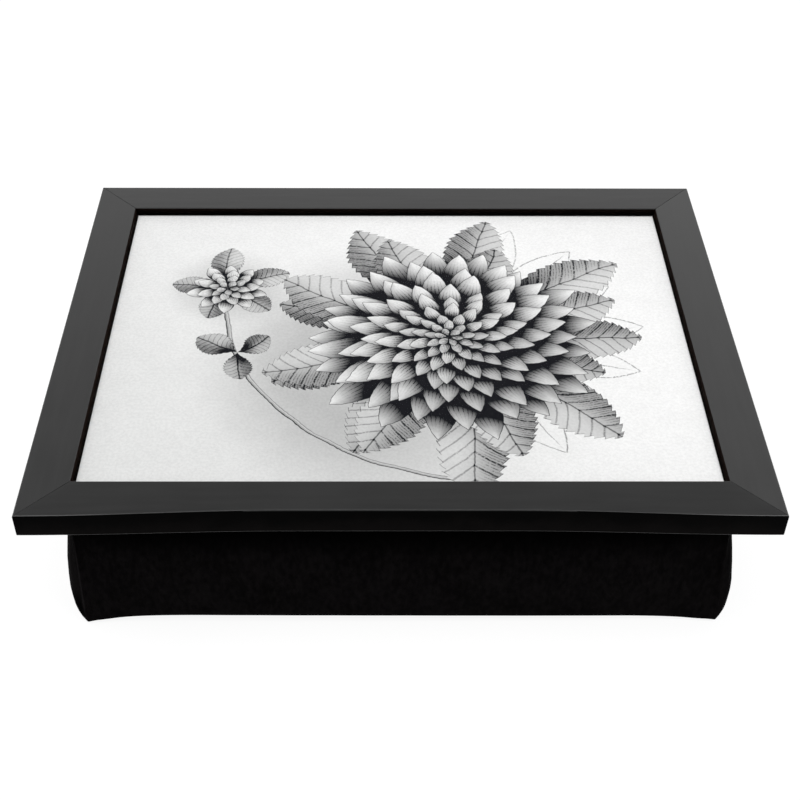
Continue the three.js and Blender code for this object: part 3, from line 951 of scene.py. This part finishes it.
# Painted shadow: the cloth is painted almost black high up, under the tray's overhang.
shadow_under_tray = height.rise(58 * MM, 82 * MM)
coat(shade, {
    "Base Color": shadow_under_tray.mix(tone, (0.0001, 0.00008, 0.00008, 1)),
    "Roughness": 0.85 + nap * 0.12,
    "Specular IOR Level": 0.01,
    "Sheen Weight": 0.002,
    "Sheen Roughness": 0.5,
    "Normal": (nap + brushed * 0.8 + crushed * 0.5).relief(0.4, 0.25 * MM),
})

panels = {name: side_panel(name) for name in sides}
panels["top"] = top_panel_points()
panels["bottom"] = bottom_panel_points()
panel_names = list(panels)
points, faces, face_panels = [], [], []
for number, grid in enumerate(panels.values()):
    panel_faces = grid_faces(*grid.shape[:2])
    add_faces(faces, panel_faces, len(points))
    points.extend(grid.reshape(-1, 3))
    face_panels.extend([number] * len(panel_faces))
bag = new_piece("cushion_bag", points, faces, [nap_cloth])
bag.data.attributes.new("panel", "INT", "FACE").data.foreach_set("value", face_panels)
weld_distance = 0.05 * MM
bm = bmesh.new()
bm.from_mesh(bag.data)
bmesh.ops.remove_doubles(bm, verts=bm.verts, dist=weld_distance)
bmesh.ops.recalc_face_normals(bm, faces=bm.faces)
panel_of = bm.faces.layers.int["panel"]
seams = [edge for edge in bm.edges if len({face[panel_of] for face in edge.link_faces}) > 1]
seam_points = np.array([vertex.co for vertex in {vertex for edge in seams for vertex in edge.verts}])
bm.to_mesh(bag.data)
bm.free()


def mesh_points(mesh):
    flat = np.empty(3 * len(mesh.vertices))
    mesh.vertices.foreach_get("co", flat)
    return flat.reshape(-1, 3)


def from_seams(places):
    nearest = [np.linalg.norm(seam_points - place, axis=1).min() for place in places]
    return np.array(nearest)


swell_frames = 20
swell_cap = 4 * MM
swell_fades = 25 * MM
sewn = mesh_points(bag.data)
away = from_seams(sewn)
on_top = sewn[:, 2] > bag_height - weld_distance
on_table = sewn[:, 2] < seam_lift + seam_slope
bag.vertex_groups.new(name="held").add(np.flatnonzero(on_top | on_table).tolist(), 1.0, "REPLACE")
cloth = bag.modifiers.new("swell", "CLOTH")
cloth.settings.use_pressure = True
cloth.settings.uniform_pressure_force = 4
cloth.settings.effector_weights.gravity = 0
cloth.settings.vertex_group_mass = "held"
cloth.settings.shrink_min = -0.02
cloth.settings.quality = 6
cloth.settings.tension_stiffness = 12
cloth.settings.compression_stiffness = 12
cloth.settings.bending_stiffness = 0.3
cloth.point_cache.frame_start = 1
cloth.point_cache.frame_end = swell_frames
for number in range(1, swell_frames + 1):
    scene.frame_set(number)
swelled = bag.evaluated_get(bpy.context.evaluated_depsgraph_get()).to_mesh()
moved = mesh_points(swelled) - sewn
bag.modifiers.remove(cloth)
scene.frame_set(1)
far = np.linalg.norm(moved, axis=1)
kept = np.tanh(far / swell_cap) * swell_cap / np.maximum(far, weld_distance)
kept *= 1 - np.exp(-((away / swell_fades) ** 2))
sewn = sewn + moved * kept[:, None]
bag.data.vertices.foreach_set("co", sewn.ravel())
bag.data.update()

# The seams: a ridge of turned-in cloth between two grooves, and small puckers beside it higher up.
ridge_height = 1.2 * MM
ridge_width = 1.1 * MM
foot_ridge_share = 0.3
groove_depth = 0.7 * MM
groove_away = 3.2 * MM
groove_width = 1.6 * MM
pucker_height = 0.35 * MM
pucker_pitch = 13 * MM
pucker_away = 6 * MM
pucker_reach = 16 * MM
foot_reach = 14 * MM
wear_and_highlight_width = 0.7 * MM
wear_and_highlight_starts = 9 * MM
table_clearance = 0.05 * MM
ear_reach = 12 * MM
ear_rounds = 8


def hump(distance, width):
    return np.exp(-((distance / width) ** 2))


above_foot = 1 - hump(sewn[:, 2], foot_reach)
ridge = ridge_height * (foot_ridge_share + (1 - foot_ridge_share) * above_foot) * hump(away, ridge_width)
groove = groove_depth * above_foot * hump(away - groove_away, groove_width)
crossing_waves = np.array([(1.0, 0.37, 0.21), (0.26, 1.13, -0.35), (0.28, -0.24, 0.9)])
swing = sewn @ crossing_waves.T * 2 * np.pi / pucker_pitch + np.arange(3)
pucker = pucker_height * above_foot * np.sin(swing).mean(1)
pucker *= hump(away - pucker_away, pucker_reach) * (1 - hump(away, groove_away))
outward = ridge - groove + pucker
lying = (sewn[:, 2] > bag_height - weld_distance) | (sewn[:, 2] < weld_distance)
outward = np.where(lying, np.minimum(outward, 0), outward)
# Along the seams the cloth is marked for lightening: partly wear and partly a painted highlight on the
# ridge.
wear_and_highlight = hump(away, wear_and_highlight_width) * (1 - hump(sewn[:, 2], wear_and_highlight_starts))
bm = bmesh.new()
bm.from_mesh(bag.data)
panel_of = bm.faces.layers.int["panel"]
wear_and_highlight_layer = bm.verts.layers.float.new("seam_wear_and_highlight")
normals = [vertex.normal.copy() for vertex in bm.verts]
for vertex, normal, shift, worn_and_lit in zip(bm.verts, normals, outward, wear_and_highlight):
    vertex.co += normal * shift
    vertex.co.z = min(max(vertex.co.z, table_clearance), bag_height)
    vertex[wear_and_highlight_layer] = worn_and_lit
panels_at = {vertex: {face[panel_of] for face in vertex.link_faces} for vertex in bm.verts}
ears = [v.co.copy() for v in bm.verts if len(panels_at[v]) > 2 and v.co.z < bag_height / 2]
for number in range(ear_rounds):
    reach = ear_reach * (1 - number / ear_rounds)
    near = [v for v in bm.verts if min((v.co - ear).length for ear in ears) < reach]
    bmesh.ops.smooth_vert(bm, verts=near, factor=0.5, use_axis_x=True, use_axis_y=True, use_axis_z=True)
for face in bm.faces:
    face.smooth = True


def bag_part(name, names):
    part = bm.copy()
    numbers = part.faces.layers.int["panel"]
    others = [face for face in part.faces if panel_names[face[numbers]] not in names]
    bmesh.ops.delete(part, geom=others, context="FACES")
    piece = new_piece(name, [], [], [nap_cloth])
    part.to_mesh(piece.data)
    part.free()
    thick = piece.modifiers.new("cloth thickness", "SOLIDIFY")
    thick.thickness = cloth_thickness
    thick.offset = -1
    return piece


top_panel = bag_part("cushion_top_panel", ["top"])
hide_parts("cushion_top")
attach(top_panel, "cushion_top")
cover_panels = ["bottom", "front", "back", "left", "right"]
cover = bag_part("cushion_cover", cover_panels)
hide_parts(*(f"cushion_{name}" for name in cover_panels), "bead_filling")
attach(cover, "cushion_base")
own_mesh(cover)
bm.free()
bpy.data.objects.remove(bag)
